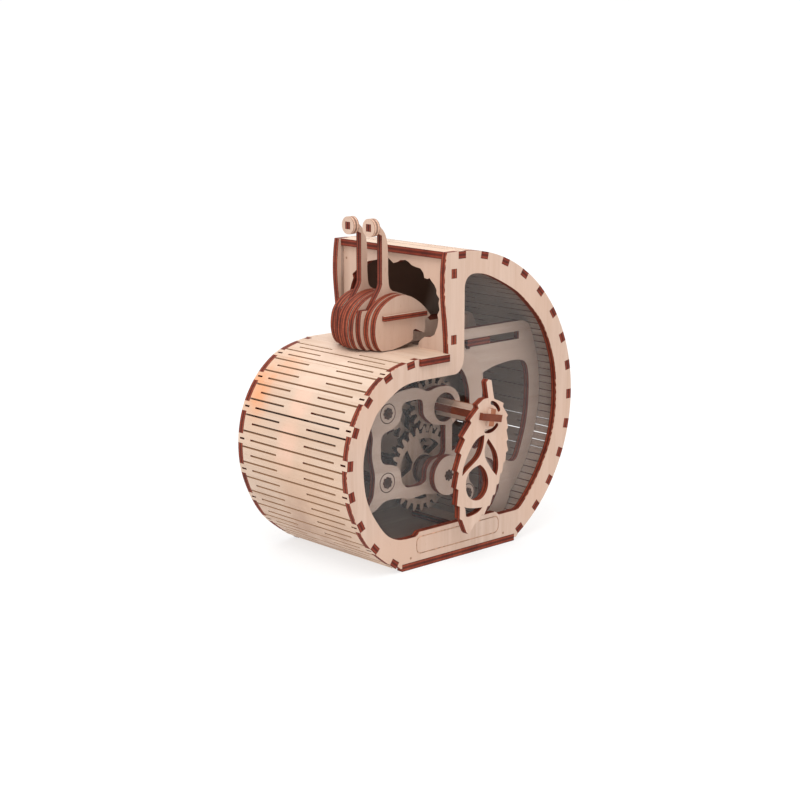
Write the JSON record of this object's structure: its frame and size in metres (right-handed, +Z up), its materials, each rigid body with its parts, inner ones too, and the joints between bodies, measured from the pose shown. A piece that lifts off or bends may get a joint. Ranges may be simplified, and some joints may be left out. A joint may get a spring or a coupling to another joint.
{
  "type": "wooden coin bank kit",
  "caption": "Laser-cut ply coin bank: a round casing with living-hinge skins, a leaf-shaped hand crank, a geared slide and a layered stalk-eyed head that carries a coin in.",
  "frame": {"origin": "on the base board's underside, in the mid-plane, straight below the axis of the round shell", "axes": "+Z up; +X from the head's side towards the round back; -Y is the side with the window and the crank"},
  "size_m": [0.1731, 0.1182, 0.1873],
  "materials": {
    "clear_pane": "clear cast acrylic sheet, polished",
    "ply_skin": "thin birch-faced ply, laser-slit living hinge with brown burnt slits and dark tab ends",
    "ply_leaf": "birch-faced ply, laser-cut with brown burnt edges and fine grain",
    "ply_head": "birch-faced ply layers with brown burnt edges",
    "ply_eye": "small birch-faced ply discs with burnt rims",
    "ply_casing": "birch-faced ply, smooth pale face, dark burnt edges",
    "ply_gear": "ply gears with burnt teeth",
    "ply_inner": "plain ply with burnt edges"
  },
  "bodies": {
    "casing": {"base_board": "ply_casing", "doorway_wall": "ply_casing", "frame_far": "ply_inner", "frame_near": "ply_inner", "guide_far": "ply_inner", "guide_near": "ply_inner", "hatch_pin": "ply_inner", "plate_far": "ply_casing", "plate_near": "ply_casing", "rest_rail": "ply_inner", "shaft_bush_far": "ply_inner", "skin_left": "ply_skin", "skin_right": "ply_skin", "tie_rod_lower": "ply_inner", "tie_rod_right": "ply_inner", "tie_rod_upper": "ply_inner", "window_pane": "clear_pane"},
    "crank": {"leaf_crank": "ply_leaf", "shaft_strip_a": "ply_inner", "shaft_strip_b": "ply_inner", "shaft_collar": "ply_inner", "pinion_crank": "ply_gear"},
    "idler": {"axle_idler": "ply_inner", "disc_idler": "ply_inner", "sleeve_idler": "ply_inner", "hub_idler": "ply_inner", "gear_idler": "ply_gear", "pinion_idler": "ply_gear"},
    "output_gear": {"gear_output": "ply_gear"},
    "head": {"eye_far": "ply_eye", "eye_near": "ply_eye", "head_layer_1": "ply_head", "head_layer_2": "ply_head", "head_layer_3": "ply_head", "head_layer_4": "ply_head", "head_layer_5": "ply_head", "head_layer_5_rear": "ply_head", "head_layer_6": "ply_head", "head_layer_7": "ply_head", "head_layer_8": "ply_head", "head_layer_9": "ply_head", "head_shelf": "ply_head", "carriage_plate": "ply_inner", "rack": "ply_gear"},
    "hatch_cover": {"hatch_cover": "ply_casing"}
  },
  "joints": [
    {"name": "crank_turn", "type": "hinge", "parent": "casing", "child": "crank", "pos_m": [0.0042, 0, 0.0814], "axis": [0, -1, 0], "range_deg": [-66, 132]},
    {"name": "idler_spin", "type": "hinge", "parent": "casing", "child": "idler", "pos_m": [-0.00174, 0, 0.04513], "axis": [0, -1, 0], "range_deg": [-82, 41]},
    {"name": "output_spin", "type": "hinge", "parent": "casing", "child": "output_gear", "pos_m": [0.0042, 0, 0.0814], "axis": [0, -1, 0], "range_deg": [-25.5, 50.5]},
    {"name": "head_slide", "type": "slide", "parent": "casing", "child": "head", "axis": [-1, 0, 0], "range_m": [-0.01, 0.02]},
    {"name": "hatch_swing", "type": "hinge", "parent": "casing", "child": "hatch_cover", "pos_m": [0.052, 0.048, 0.093], "axis": [0, 1, 0], "range_deg": [-110, 110]}
  ],
  "couplings": [
    {"joint": "idler_spin", "follows": "crank_turn", "ratio": -0.61538},
    {"joint": "output_spin", "follows": "crank_turn", "ratio": 0.3787},
    {"joint": "head_slide", "follows": "crank_turn", "m_per_rad": 0.0086154}
  ]
}
